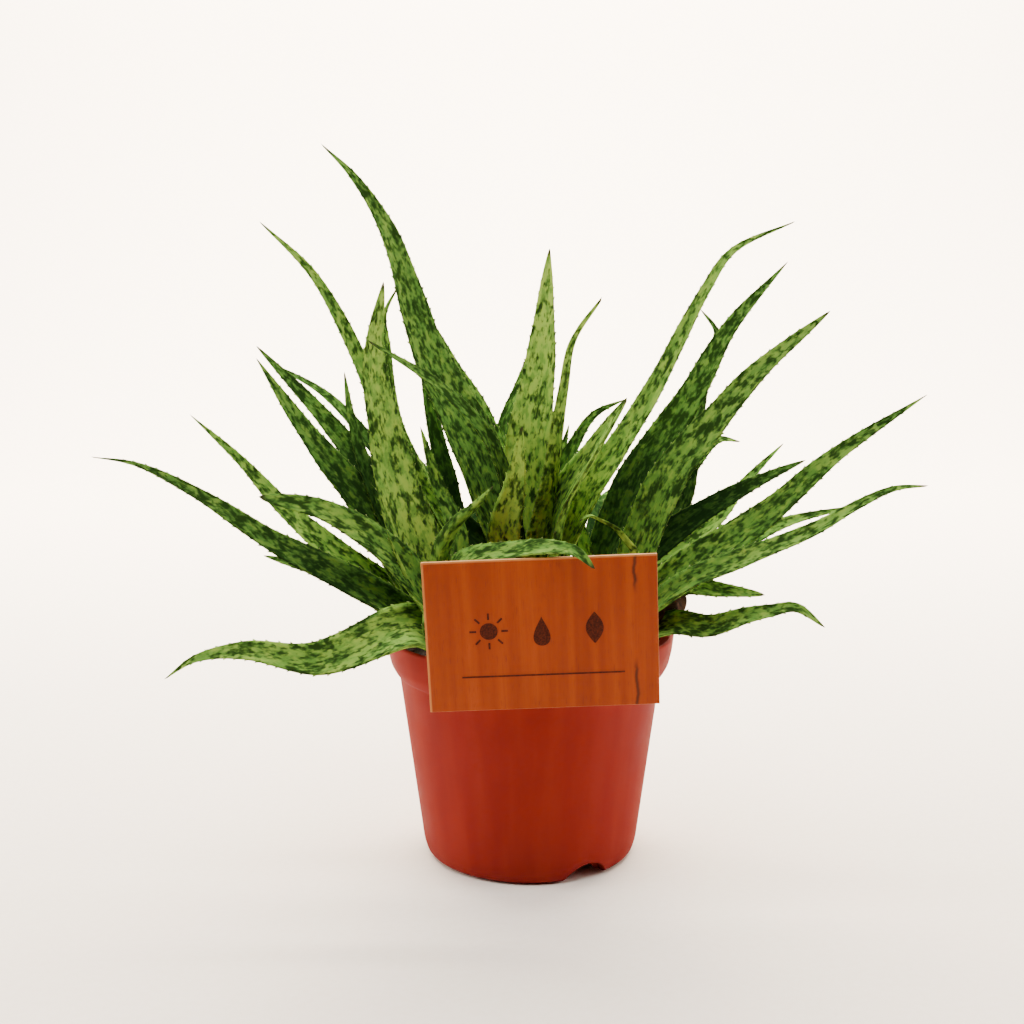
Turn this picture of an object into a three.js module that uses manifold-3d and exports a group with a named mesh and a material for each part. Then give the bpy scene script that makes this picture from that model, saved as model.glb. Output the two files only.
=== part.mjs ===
// A potted spider aloe: a plastic nursery pot, its soil, six rosettes of fleshy toothed leaves
// and a bare wood-look label on a stake. Millimetres, +Z up.
// The origin is the middle of the pot's foot. The label faces -Y and +X is to its right.
import * as THREE from "three";
import { mergeVertices } from "three/addons/utils/BufferGeometryUtils.js";
import Module from "manifold-3d";

const wasm = await Module();
wasm.setup();

// Driving dimensions
const GAP = 0.3;
const WALL = 1.2;
const POT_SIDES = 36;
const POT_HEIGHT = 95;
const RIM_RADIUS = 60;
const COLLAR_HEIGHT = 17;
const NECK_RADIUS = 54.6;
const BASE_RADIUS = 45;
const FOOT_HEIGHT = 6;
const FOOT_RADIUS = 41;
const PAD_RADIUS = 13;
const NOTCHES = 3;
const NOTCH_WIDTH = 21;
const NOTCH_RISE = 7.4;
const NOTCH_HEADING = -58;
const DRAIN_RADIUS = 4.5;
const DRAIN_CIRCLE = 27;
const SOIL_EDGE = 85;
const SOIL_CROWN = 7;
const STEM_RADIUS = 7.5;
const STEM_RISE = 27;
const STEM_ROOT = 16;
const LEAF_STEP = 2.6;
const LEAF_FOOT = 5;
const TOOTH_RISE = 1.2;
const TOOTH_BASE = 3;
const TOOTH_PITCH = 26;
const TWIST_AT_FOOT = 0.3;
const FOOT_SHARE = 0.7;
const USUAL_TAPER = 0.7;
const CUT_GAP = 0.5;
const TEETH_FROM = 0.16;
const TEETH_TO = 0.86;
const MOST_BEND = 0.14;
const LABEL_WIDTH = 88;
const LABEL_HEIGHT = 61;
const LABEL_THICKNESS = 1.2;
const LABEL_LEAN = 8;
const LABEL_TURN = 2.4;
const LABEL_CENTRE = [4.5, 15.5];
const STAKE_WIDTH = 12;
const STAKE_THICKNESS = 1.4;
const STAKE_DEPTH = 48;

// Where each rosette's stem stands in the soil.
const STEMS = {
  front_left: [-33, -20],
  left: [-41, 6],
  back_left: [-22, 28],
  middle: [2, 0],
  front_right: [36, -14],
  back_right: [26, 28],
};

// Each rosette's leaves, outermost first. A leaf's centre line runs from its stem through these
// points to its tip. Width is across the blade at its foot, taper says how fast it narrows to the
// tip, and roll turns the blade about its line.
const LEAVES = {
  front_left: [
    {
      width: 28, taper: 1, roll: -50,
      path: [[-47, -34, 103], [-84, -37, 92], [-113, -35, 95], [-133, -34, 91.5], [-146, -34, 83]],
    },
    {
      width: 25, roll: 30,
      path: [[-32, -42, 128], [-5, -60, 140.5], [7, -65.5, 143], [17, -71.5, 142.5], [24, -76, 137]],
    },
    {
      width: 18.5, taper: 1, roll: -50,
      path: [[-76, -22, 122], [-104, -18, 136], [-133, -14, 154], [-159, -10, 166], [-178, -8, 169]],
    },
    { width: 18, taper: 0.5, roll: -60, path: [[-53, -30, 131], [-79, -38, 151.5], [-104, -46, 159]] },
    { width: 12, roll: -40, path: [[-35, -35, 135], [-29, -39, 147], [-21, -42, 155], [-14, -45, 163]] },
    { width: 27, roll: -20, path: [[-51, -20, 149], [-58, -12, 177], [-63, -6, 209], [-59, 0, 239]] },
    { width: 12, roll: -20, path: [[-30, -10, 138], [-38, -2, 157], [-45, 2, 180]] },
  ],
  left: [
    { width: 15, roll: -40, path: [[-83, 14, 115], [-99, 20, 118], [-115, 26, 121]] },
    { width: 18, roll: -60, path: [[-65, 8, 109], [-76, 12, 114], [-89, 16, 121]] },
    {
      width: 17, taper: 0.87, roll: -45,
      path: [[-85, 10, 128], [-104, 16, 143.5], [-123, 22, 163], [-145, 28, 182]],
    },
    {
      width: 25, taper: 0.85, roll: -40,
      path: [[-68, 10, 144], [-85, 16, 164], [-100, 22, 183], [-116, 28, 206]],
    },
    { width: 13, roll: -20, path: [[-69, 16, 160], [-76, 24, 182], [-79, 30, 200]] },
  ],
  back_left: [
    { width: 20, path: [[-56, 66, 122], [-92, 100, 120]] },
    { width: 20, path: [[-22, 78, 132], [-18, 126, 134]] },
    { width: 19, roll: -40, path: [[-64, 46, 144], [-91, 58, 176], [-123, 70, 208]] },
    { width: 18, path: [[-44, 70, 142], [-58, 108, 156]] },
    { width: 13, roll: -20, path: [[-72, 60, 166], [-93, 72, 186], [-120, 88, 199]] },
    { width: 14, roll: -50, path: [[-60, 36, 171], [-73, 40, 203], [-93, 44, 240], [-116, 46, 263]] },
    { width: 14, path: [[-58, 42, 176], [-62, 46, 209], [-63, 47, 223], [-57, 48, 235]] },
    { width: 16, path: [[-11, 40, 176], [-5, 44, 192], [2, 48, 213]] },
  ],
  middle: [
    { width: 33, roll: 50, path: [[11, -12, 148], [24, -19, 172], [38, -26, 195]] },
    { width: 22, roll: 170, path: [[-10, -20, 137], [-6, -29, 160], [-3, -36, 185]] },
    {
      width: 32, taper: 0.9, roll: -40,
      path: [[-23.5, 4, 171], [-42, 12, 209], [-59, 22, 259], [-73, 26, 281], [-87, 30, 295]],
    },
    {
      width: 16, taper: 0.8, roll: 50,
      path: [[24, -2, 151], [50, 2, 194], [71, 4, 235], [82, 5, 251], [107, 6, 263]],
    },
    { width: 19, roll: -40, path: [[-20, 30, 178], [-35, 44, 204], [-44, 52, 222]] },
    { width: 13, roll: -60, path: [[-15, -16, 174], [-34, -26, 198], [-62, -36, 218]] },
    { width: 18, path: [[4, 62, 138], [8, 100, 150]] },
    {
      width: 15, taper: 0.5, roll: -20,
      path: [[-31, 10, 140], [-36, 18, 157], [-40, 23, 173], [-46, 28, 204]],
    },
    { width: 11, roll: 50, path: [[12, 8, 157], [19, 14, 172], [27, 18, 183], [40, 22, 189]] },
    { width: 23, roll: 30, path: [[9, -12, 170], [13, -17, 199], [16.5, -19, 217], [28, -22, 234]] },
    { width: 31, taper: 0.75, path: [[1, 5, 173], [5, 10, 207], [8, 14, 252]] },
  ],
  front_right: [
    {
      width: 15, roll: 50,
      path: [
        [58, -24, 103], [72, -28, 103], [86, -34, 109], [95, -38, 112], [104, -41, 114],
        [115, -45, 107],
      ],
    },
    { width: 15, taper: 0.6, roll: 50, path: [[60, -11, 115.5], [78, -8, 113.5], [97, -6, 111]] },
    {
      width: 14, roll: 45,
      path: [
        [64, -28, 122], [86, -34, 133], [111, -39, 145], [127, -41, 155], [140, -43, 161.5],
        [153, -44, 163],
      ],
    },
    { width: 14, roll: 40, path: [[83, 4, 127], [106, 14, 137], [136, 22, 143]] },
    {
      width: 20, taper: 0.85, roll: 50,
      path: [[68, -10, 125], [98, -4, 145], [125, 0, 168], [163, 4, 193]],
    },
    {
      width: 9, roll: -20,
      path: [
        [41, -32, 134], [37, -36, 141], [33, -39, 146], [28, -41, 149], [23, -42, 151], [19, -43, 149],
      ],
    },
    { width: 22, roll: 50, path: [[56, -6, 158], [76, 0, 183], [93, 4, 202], [123, 8, 227]] },
  ],
  back_right: [
    { width: 20, path: [[60, 70, 122], [96, 104, 120]] },
    { width: 20, path: [[34, 78, 130], [40, 126, 134]] },
    { width: 18, roll: 50, path: [[63, 34, 130], [84, 38, 143], [104, 41, 153], [121, 44, 160]] },
    { width: 13, roll: 30, path: [[82, 54, 130], [98, 66, 147], [116, 76, 163]] },
    { width: 16, roll: 50, path: [[70, 74, 148], [88, 94, 162], [100, 104, 160]] },
    {
      width: 25, taper: 0.85, roll: 50,
      path: [[48, 30, 156], [61, 32, 176], [71, 34, 192], [86, 40, 218], [111, 46, 246]],
    },
    { width: 20, roll: 30, path: [[64, 50, 137], [71, 60, 158], [76, 67, 180], [82, 70, 203]] },
    { width: 15, roll: 50, path: [[62, 66, 168], [84, 86, 202], [86, 92, 213], [79, 96, 223]] },
    { width: 11, path: [[14, 36, 161], [17, 42, 176]] },
  ],
};

// A shrivelled leaf lies over the rim beside the label.
const DRY_LEAF = {
  stem: "front_right", width: 24, roll: 70,
  path: [[53, -18, 108], [60, -16, 111], [63, -12, 105]],
};

const MATERIALS = {
  pot: new THREE.MeshStandardMaterial({ color: 0xb5432c, roughness: 0.5, metalness: 0 }),
  soil: new THREE.MeshStandardMaterial({ color: 0x2e2018, roughness: 1, metalness: 0 }),
  stem: new THREE.MeshStandardMaterial({ color: 0x9aa866, roughness: 0.7, metalness: 0 }),
  leaf: new THREE.MeshStandardMaterial({ color: 0x5d8a34, roughness: 0.5, metalness: 0 }),
  dry: new THREE.MeshStandardMaterial({ color: 0x4a2d1c, roughness: 0.9, metalness: 0 }),
  label: new THREE.MeshStandardMaterial({ color: 0xb0501c, roughness: 0.45, metalness: 0 }),
  stake: new THREE.MeshStandardMaterial({ color: 0x8a5a32, roughness: 0.6, metalness: 0 }),
};

const part = new THREE.Group();
part.name = "potted_spider_aloe";

// Turns a closed geometry into a solid for joining and cutting.
function solidOf(geometry) {
  const bare = geometry.clone();
  bare.deleteAttribute("normal");
  bare.deleteAttribute("uv");
  const merged = mergeVertices(bare, 1e-4);
  return new wasm.Manifold(
    new wasm.Mesh({
      numProp: 3,
      vertProperties: new Float32Array(merged.attributes.position.array),
      triVerts: new Uint32Array(merged.index.array),
    }),
  );
}

function geometryOf(solid) {
  const mesh = solid.getMesh();
  const places = new Float32Array(mesh.numVert * 3);
  for (let i = 0; i < mesh.numVert; i++) {
    places.set(mesh.vertProperties.subarray(i * mesh.numProp, i * mesh.numProp + 3), i * 3);
  }
  const geometry = new THREE.BufferGeometry();
  geometry.setAttribute("position", new THREE.BufferAttribute(places, 3));
  geometry.setIndex(new THREE.BufferAttribute(new Uint32Array(mesh.triVerts), 1));
  geometry.computeVertexNormals();
  return geometry;
}

function addMesh(name, geometry, material) {
  const mesh = new THREE.Mesh(geometry, material);
  mesh.name = name;
  part.add(mesh);
  return mesh;
}

// Revolves a profile of [radius, height] points, listed from the axis up round the outside, about Z.
function revolve(profile, segments) {
  const points = profile.map(([radius, height]) => new THREE.Vector2(radius, height));
  return new THREE.LatheGeometry(points, segments).rotateX(Math.PI / 2);
}

// The pot's wall leans evenly from the foot to the neck, where the collar flares to the rim.
const NECK_HEIGHT = POT_HEIGHT - COLLAR_HEIGHT;

function innerRadius(height) {
  const share = (height - FOOT_HEIGHT) / (NECK_HEIGHT - FOOT_HEIGHT);
  return THREE.MathUtils.lerp(BASE_RADIUS, NECK_RADIUS, share) - WALL;
}

function potSolid() {
  const collar = [[0.25, 1], [0.62, 4.5], [0.86, 10], [0.96, 14.5]].map(([share, rise]) => [
    THREE.MathUtils.lerp(NECK_RADIUS, RIM_RADIUS, share),
    NECK_HEIGHT + rise,
  ]);
  const inside = collar.map(([radius, height]) => [radius - WALL, height + 0.4]).reverse();
  const shell = revolve(
    [
      [0, 0],
      [PAD_RADIUS, 0],
      [PAD_RADIUS + 4, FOOT_HEIGHT],
      [FOOT_RADIUS - 4, FOOT_HEIGHT],
      [FOOT_RADIUS - 3, 0],
      [FOOT_RADIUS, 0],
      [FOOT_RADIUS + 2.6, 1.6],
      [BASE_RADIUS, FOOT_HEIGHT],
      [NECK_RADIUS, NECK_HEIGHT],
      ...collar,
      [RIM_RADIUS, POT_HEIGHT - 0.9],
      [RIM_RADIUS - 0.4, POT_HEIGHT],
      [RIM_RADIUS - 1.4, POT_HEIGHT],
      ...inside,
      [NECK_RADIUS - WALL, NECK_HEIGHT],
      [innerRadius(FOOT_HEIGHT + 3), FOOT_HEIGHT + 3],
      [innerRadius(FOOT_HEIGHT) - 2, FOOT_HEIGHT + WALL],
      [PAD_RADIUS + 3.4, FOOT_HEIGHT + WALL],
      [PAD_RADIUS - 0.6, WALL],
      [0, WALL],
    ],
    POT_SIDES,
  );
  let pot = solidOf(shell);
  const archRadius = (NOTCH_WIDTH ** 2 / 4 + NOTCH_RISE ** 2) / (2 * NOTCH_RISE);
  const arch = new THREE.CylinderGeometry(archRadius, archRadius, 20, 20)
    .rotateZ(Math.PI / 2)
    .translate(FOOT_RADIUS + 6, 0, NOTCH_RISE - archRadius);
  const drain = new THREE.CylinderGeometry(DRAIN_RADIUS, DRAIN_RADIUS, 10, 12)
    .rotateX(Math.PI / 2)
    .translate(DRAIN_CIRCLE, 0, FOOT_HEIGHT);
  for (let i = 0; i < NOTCHES; i++) {
    const heading = THREE.MathUtils.degToRad(NOTCH_HEADING + (360 * i) / NOTCHES);
    pot = pot.subtract(solidOf(arch.clone().rotateZ(heading)));
    pot = pot.subtract(solidOf(drain.clone().rotateZ(heading)));
  }
  return pot;
}

// The soil's top is a low dome with crumbs that a sum of waves raises.
function soilHeight(x, y) {
  const radius = Math.hypot(x, y);
  const dome = SOIL_EDGE + SOIL_CROWN * (1 - (radius / NECK_RADIUS) ** 2);
  const crumbs = Math.sin(x * 0.42 + 1.3) * Math.cos(y * 0.37 - 0.6) + 0.6 * Math.sin(x * 0.9 + y * 0.8);
  return dome + 1.1 * crumbs;
}

function soilSolid() {
  const floor = FOOT_HEIGHT + WALL + GAP;
  const edge = innerRadius(NECK_HEIGHT) - GAP;
  const top = [1, 0.94, 0.8, 0.62, 0.44, 0.26, 0.1].map((share) => [edge * share, SOIL_EDGE]);
  const ball = revolve(
    [
      [0, WALL + GAP],
      [PAD_RADIUS - 1, WALL + GAP],
      [PAD_RADIUS + 3, floor],
      [innerRadius(FOOT_HEIGHT) - 2.6, floor],
      [innerRadius(FOOT_HEIGHT + 3) - GAP - 0.2, FOOT_HEIGHT + 3],
      [edge - 0.1, NECK_HEIGHT - 1],
      ...top,
      [0, SOIL_EDGE],
    ],
    24,
  );
  const places = ball.attributes.position;
  for (let i = 0; i < places.count; i++) {
    if (places.getZ(i) > NECK_HEIGHT) {
      places.setZ(i, soilHeight(places.getX(i), places.getY(i)));
    }
  }
  return solidOf(ball);
}

// A stem is a short cone with its root end in the soil. Grow swells it for cutting its neighbours.
function stemSolid([x, y], grow) {
  const ground = soilHeight(x, y);
  const cone = revolve(
    [
      [0, ground - STEM_ROOT - grow],
      [STEM_RADIUS * 0.5 + grow, ground - STEM_ROOT - grow],
      [STEM_RADIUS + grow, ground - 4],
      [STEM_RADIUS + grow, ground + 6],
      [STEM_RADIUS * 0.72 + grow, ground + STEM_RISE * 0.7],
      [STEM_RADIUS * 0.35 + grow, ground + STEM_RISE + grow],
      [0, ground + STEM_RISE + grow],
    ],
    10,
  );
  return solidOf(cone.translate(x, y, 0));
}

// The blade's half width, thickness and channel along its length, from 0 at its foot to 1 at its tip.
function bladeAt(t, width, taper) {
  const share = (1 - t) ** taper * (FOOT_SHARE + (1 - FOOT_SHARE) * Math.min(1, t / 0.16));
  const half = (width / 2) * share;
  return { half, thickness: 0.7 + 0.19 * width * share, channel: half * (0.16 + 0.26 * (1 - t) ** 2) };
}

// A leaf is a closed skin of four-sided rings that ends in a point: two margins, the channel between
// them and the keel below. Three close rings make each pair of teeth: the middle one pushes the
// margins out, and a plain ring lies between two pairs where the line bends. Grow swells the leaf for
// cutting its neighbours, with a margin that clears the teeth.
function leafSolid(root, { path, width, taper = USUAL_TAPER, roll = 0 }, grow) {
  const tip = new THREE.Vector3(...path[path.length - 1]);
  const curve = new THREE.CatmullRomCurve3([root, ...path.map((point) => new THREE.Vector3(...point))]);
  const length = curve.getLength();
  const across = new THREE.Vector3(root.y - tip.y, tip.x - root.x, 0).normalize();
  const rings = [[0, 0], [0.07, 0]];
  const pairs = Math.max(4, Math.round((length * (TEETH_TO - TEETH_FROM)) / TOOTH_PITCH) + 1);
  const reach = TOOTH_BASE / 2 / length;
  for (let i = 0; i < pairs; i++) {
    const middle = THREE.MathUtils.lerp(TEETH_FROM, TEETH_TO, i / (pairs - 1));
    const before = rings[rings.length - 1][0];
    const bend = curve.getTangentAt(before).angleTo(curve.getTangentAt(middle));
    if (bend > MOST_BEND) rings.push([(before + middle - reach) / 2, 0]);
    rings.push([middle - reach, 0], [middle, TOOTH_RISE], [middle + reach, 0]);
  }
  rings.push([0.93, 0], [0.97, 0]);
  const places = [];
  for (const [t, tooth] of rings) {
    const centre = curve.getPointAt(t);
    const along = curve.getTangentAt(t);
    const side = across.clone().addScaledVector(along, -across.dot(along)).normalize();
    side.applyAxisAngle(along, THREE.MathUtils.degToRad(roll * Math.min(1, TWIST_AT_FOOT + 2 * t)));
    const up = along.clone().cross(side);
    if (t === 0) centre.addScaledVector(along, -grow);
    const { half, thickness, channel } = bladeAt(t, width, taper);
    const margin = half + (grow ? TOOTH_RISE : tooth) + grow * 1.5;
    const lip = (channel * margin) / half + grow * 0.2;
    for (const [sideways, upward] of [
      [margin, lip],
      [0, grow],
      [-margin, lip],
      [0, -thickness - grow * 1.5],
    ]) {
      const place = centre.clone().addScaledVector(side, sideways).addScaledVector(up, upward);
      places.push(place.x, place.y, place.z);
    }
  }
  const end = tip.addScaledVector(curve.getTangentAt(1), grow * 4);
  places.push(end.x, end.y, end.z);
  const sides = 4;
  const last = rings.length - 1;
  const faces = [1, 3, 2, 1, 0, 3];
  for (let j = 0; j < sides; j++) {
    const next = (j + 1) % sides;
    for (let i = 0; i < last; i++) {
      const a = i * sides;
      const b = a + sides;
      faces.push(a + j, a + next, b + next, a + j, b + next, b + j);
    }
    faces.push(last * sides + j, last * sides + next, rings.length * sides);
  }
  const skin = new THREE.BufferGeometry();
  skin.setAttribute("position", new THREE.BufferAttribute(new Float32Array(places), 3));
  skin.setIndex(faces);
  return solidOf(skin);
}

// Where a leaf leaves its stem: on the side it heads for, higher for each rank inwards.
function leafRoot([x, y], rank, path) {
  const heading = Math.atan2(path[0][1] - y, path[0][0] - x);
  const height = soilHeight(x, y) + LEAF_FOOT + rank * LEAF_STEP;
  return new THREE.Vector3(x + 3 * Math.cos(heading), y + 3 * Math.sin(heading), height);
}

function boxesMeet(one, other) {
  const a = one.boundingBox();
  const b = other.boundingBox();
  return [0, 1, 2].every((i) => a.min[i] <= b.max[i] && b.min[i] <= a.max[i]);
}

// Keeps the main body of a leaf once its neighbours' swollen shapes are cut from it.
function cutClear(leaf, neighbours) {
  let solid = leaf;
  for (const neighbour of neighbours) {
    if (boxesMeet(solid, neighbour)) solid = solid.subtract(neighbour);
  }
  return solid.decompose().sort((a, b) => b.volume() - a.volume())[0];
}

function addRosettes() {
  const stems = Object.values(STEMS).map((place) => stemSolid(place, GAP));
  const built = [...stems];
  const ranks = Math.max(...Object.values(LEAVES).map((leaves) => leaves.length));
  for (let inwards = 0; inwards < ranks; inwards++) {
    for (const [rosette, leaves] of Object.entries(LEAVES)) {
      const rank = leaves.length - 1 - inwards;
      if (rank < 0) continue;
      const root = leafRoot(STEMS[rosette], rank, leaves[rank].path);
      const leaf = cutClear(leafSolid(root, leaves[rank], 0), built);
      built.push(leafSolid(root, leaves[rank], CUT_GAP), leaf);
      addMesh(`${rosette}_leaf_${rank + 1}`, geometryOf(leaf), MATERIALS.leaf);
    }
  }
  const root = leafRoot(STEMS[DRY_LEAF.stem], 0, DRY_LEAF.path);
  const dry = cutClear(leafSolid(root, DRY_LEAF, 0), built);
  addMesh("dry_leaf", geometryOf(dry), MATERIALS.dry);
}

// The stake is a bent strip: a tab behind the label, a step over the rim and a blade down in the soil.
function stakeSolid(grow) {
  const back = -LABEL_THICKNESS / 2 - GAP;
  const inner = -6.3 - LABEL_THICKNESS / 2;
  const thick = STAKE_THICKNESS;
  const outline = [
    [back, 2 - grow],
    [back, 36],
    [back - thick, 36],
    [back - thick, 2 + thick],
    [inner - thick - grow, 2 + thick + grow],
    [inner - thick - grow, -STAKE_DEPTH],
    [inner - thick / 2, -STAKE_DEPTH - 5 - grow],
    [inner + grow, -STAKE_DEPTH],
    [inner + grow, 2 - grow],
  ];
  const shape = new THREE.Shape(outline.map(([out, up]) => new THREE.Vector2(out, up)));
  const width = STAKE_WIDTH + 2 * grow;
  const strip = new THREE.ExtrudeGeometry(shape, { depth: width, bevelEnabled: false });
  // The outline's first axis points out of the label's face, which is -Y in the label's frame.
  strip.translate(0, 0, -width / 2).rotateX(Math.PI / 2).rotateZ(-Math.PI / 2);
  return solidOf(strip.applyMatrix4(LABEL_FRAME));
}

// The label's frame: its back meets the rim's front, and it leans out as the pot's wall does.
const LABEL_FRAME = new THREE.Matrix4()
  .makeTranslation(0, -RIM_RADIUS - GAP - LABEL_THICKNESS / 2, POT_HEIGHT - 1)
  .multiply(new THREE.Matrix4().makeRotationX(THREE.MathUtils.degToRad(LABEL_LEAN)));

function labelSolid() {
  const [x, up] = LABEL_CENTRE;
  const plate = new THREE.BoxGeometry(LABEL_WIDTH, LABEL_THICKNESS, LABEL_HEIGHT);
  plate.rotateY(THREE.MathUtils.degToRad(-LABEL_TURN)).translate(x, 0, up);
  return solidOf(plate.applyMatrix4(LABEL_FRAME));
}

function addSoil() {
  let soil = soilSolid();
  for (const place of Object.values(STEMS)) {
    soil = soil.subtract(stemSolid(place, GAP));
  }
  soil = soil.subtract(stakeSolid(GAP));
  const main = soil.decompose().sort((a, b) => b.volume() - a.volume())[0];
  addMesh("soil", geometryOf(main), MATERIALS.soil);
}

addMesh("pot", geometryOf(potSolid()), MATERIALS.pot);
addSoil();
for (const [rosette, place] of Object.entries(STEMS)) {
  addMesh(`${rosette}_stem`, geometryOf(stemSolid(place, 0)), MATERIALS.stem);
}
addRosettes();
addMesh("label", geometryOf(labelSolid()), MATERIALS.label);
addMesh("label_stake", geometryOf(stakeSolid(0)), MATERIALS.stake);

export default part;
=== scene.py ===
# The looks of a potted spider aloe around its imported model. The sizes at the top are millimetres and
# degrees, apart from the lamps'.
import math
import random

import bmesh
import bpy
import numpy as np
from mathutils import Matrix, Vector


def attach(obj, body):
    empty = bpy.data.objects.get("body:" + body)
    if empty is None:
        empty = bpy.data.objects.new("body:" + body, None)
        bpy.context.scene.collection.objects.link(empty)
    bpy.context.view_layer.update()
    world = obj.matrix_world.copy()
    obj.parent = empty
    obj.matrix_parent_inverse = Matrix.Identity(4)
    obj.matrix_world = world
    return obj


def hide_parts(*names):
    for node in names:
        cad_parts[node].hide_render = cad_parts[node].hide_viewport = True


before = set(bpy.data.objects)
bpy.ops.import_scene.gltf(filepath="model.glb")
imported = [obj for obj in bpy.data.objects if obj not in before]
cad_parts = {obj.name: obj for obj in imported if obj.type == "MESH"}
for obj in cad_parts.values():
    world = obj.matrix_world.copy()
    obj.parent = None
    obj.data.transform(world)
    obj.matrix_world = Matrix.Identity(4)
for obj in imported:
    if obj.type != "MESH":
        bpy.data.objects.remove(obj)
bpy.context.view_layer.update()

MM = 0.001

# The camera stands where the photograph's did, with a longer lens for a tighter frame.
CAMERA_PLACE = (0, -650, 262)
CAMERA_PITCH = 9.8
FOCAL_PIXELS = 1600
FRAME_PIXELS = 1024
VIEW_OFFSET = (-18, 12)
SENSOR_WIDTH = 36

# Pot, soil and stems, as in the construction. The collar's curve is its share of the flare at each rise.
GAP = 0.3
WALL = 1.2
POT_HEIGHT = 95
RIM_RADIUS = 60
COLLAR_HEIGHT = 17
COLLAR_CURVE = ((0.25, 1), (0.62, 4.5), (0.86, 10), (0.96, 14.5))
NECK_RADIUS = 54.6
NECK_HEIGHT = POT_HEIGHT - COLLAR_HEIGHT
BASE_RADIUS = 45
FOOT_HEIGHT = 6
FOOT_RADIUS = 41
PAD_RADIUS = 13
NOTCHES = 3
NOTCH_WIDTH = 21
NOTCH_RISE = 7.4
NOTCH_HEADING = -58
NOTCH_DEPTH = 20
DRAIN_RADIUS = 4.5
DRAIN_CIRCLE = 27
DRAIN_DEPTH = 10
SOIL_EDGE = 85
SOIL_CROWN = 7
STEM_RADIUS = 7.5
STEM_RISE = 27
STEM_ROOT = 16

# How finely the turned pieces are divided, and how far their corners are cut back
POT_SEGMENTS = 144
POT_ROUNDING = 1.4
CUTTER_SEGMENTS = 64
SOIL_SEGMENTS = 120
SOIL_RINGS = 40
STEM_SEGMENTS = 28
STEM_ROUNDING = 1.6
MOST_OF_A_SIDE = 0.45

# An edge that turns by more degrees than this stays crisp.
CRISP_POT_EDGE = 35
CRISP_BOARD_EDGE = 40

# The soil's grain, and the loose crumbs on it
SOIL_GRAIN = 0.35
CRUMBS = 900
CRUMB_SEED = 11
CRUMB_SIZES = (0.5, 0.7, 0.9, 1.3, 1.8)
CRUMB_SPREAD = (0.55, 1.1)
CRUMB_FLATNESS = 0.7
CRUMB_LIFT = 0.15
CRUMB_MARGIN = 2.5

# Leaves, as in the construction
LEAF_STEP = 2.6
LEAF_FOOT = 5
ROOT_REACH = 3
FOOT_SHARE = 0.7
FOOT_LENGTH = 0.16
TWIST_AT_FOOT = 0.3
TWIST_PACE = 2
TIP_THICKNESS = 0.7
THICKNESS_SHARE = 0.19
TIP_CHANNEL = 0.16
CHANNEL_GAIN = 0.26

# The finer leaf: a little thinner, with a wavy width, more rings and points, and many small teeth
CURVE_SAMPLES = 60
RING_STEP = 1.6
LEAST_RING_STEP = 0.12
LAST_RING = 0.997
UPPER_POINTS = 8
LOWER_POINTS = 10
FLESH = 0.92
CHANNEL_POWER = 1.7
KEEL_POWER = 0.75
RIPPLE_SHARE = 0.025
RIPPLE_PACE = 0.21
RIPPLE_SHIFT = 2.1
TOOTH_PITCH = 4.6
TOOTH_HEIGHT = 0.75
TOOTH_LEAN = 0.5
TOOTH_JITTER = 0.12
TOOTH_SPREAD = (0.7, 1.15)
TIP_TOOTH_SHARE = 0.45
FULL_TOOTH_WIDTH = 9
TEETH_FROM = 0.1
TEETH_TO = 0.93

# One tooth: millimetres along the margin from its middle, and the share of its height there
TOOTH_OUTLINE = ((-0.95, 0.0), (-0.3, 0.45), (0.35, 1.0), (0.6, 0.0))

# The skin's pattern starts elsewhere on each leaf, and teeth are marked in the place attribute
GRAIN_SHIFT = 7.3
TOOTH_MARK = 0.01

# Label
LABEL_WIDTH = 88
LABEL_HEIGHT = 61
LABEL_THICKNESS = 1.2
LABEL_LEAN = 8
LABEL_TURN = 2.4
LABEL_CENTRE = (4.5, 15.5)
LABEL_DROP = 1
BOARD_ROUNDING = 0.22

# The face's dark upright streak, and where its wood is bare at the left and at the top
STREAK_PLACE = 36.6
STREAK_WANDER = 2.2
BARE_LEFT = -43
BARE_TOP = 29.6
BARE_FADE = 0.4

# Burnt signs on the label, from the middle of its face
MARK_RISE = 0.06
MARK_SINK = 0.2
SIGN_PITCH = 20
SIGN_ROW = 2
DISC_POINTS = 40
SUN_RADIUS = 3.4
SUN_RAYS = 8
RAY_CIRCLE = 6
RAY_SIZE = (2.6, 0.8)
DROP_POINTS = 48
DROP_WIDTH = 4.6
DROP_HEIGHT = 6.0
DROP_SINK = 0.6
LEAF_SIGN_POINTS = 20
LEAF_SIGN_WIDTH = 3.4
LEAF_SIGN_HEIGHT = 13
RULE_HEIGHT = -16.5
RULE_SIZE = (62, 0.7)

# The sweep of paper behind the plant
SWEEP_SIDE = 2600
SWEEP_FRONT = -1500
SWEEP_BACK = 900
SWEEP_CURVE = 500
SWEEP_TOP = 2600
SWEEP_STEPS = 16

# Lamps in metres and watts: place, what they face, width and height, power, colour
PLANT_MIDDLE = (0, 0, 0.14)
WHITE = (1, 1, 1)
LAMPS = {
    "left": ((-1.1, 0.0, 0.6), PLANT_MIDDLE, (0.5, 0.9), 11.8, WHITE),
    "right": ((1.1, 0.0, 0.55), PLANT_MIDDLE, (0.5, 0.9), 7.6, WHITE),
    "top": ((0, -0.4, 1.35), PLANT_MIDDLE, (0.8, 0.8), 20, WHITE),
    "backdrop": ((0, 0.75, 1.15), (0, 1.35, 0.25), (2.0, 0.4), 170, (1, 0.94, 0.87)),
}
FILL_COLOUR = (1, 0.985, 0.965, 1)
FILL_STRENGTH = 0.03
SURROUND_COLOUR = (1, 0.95, 0.9, 1)
SURROUND_STRENGTH = 3

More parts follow.
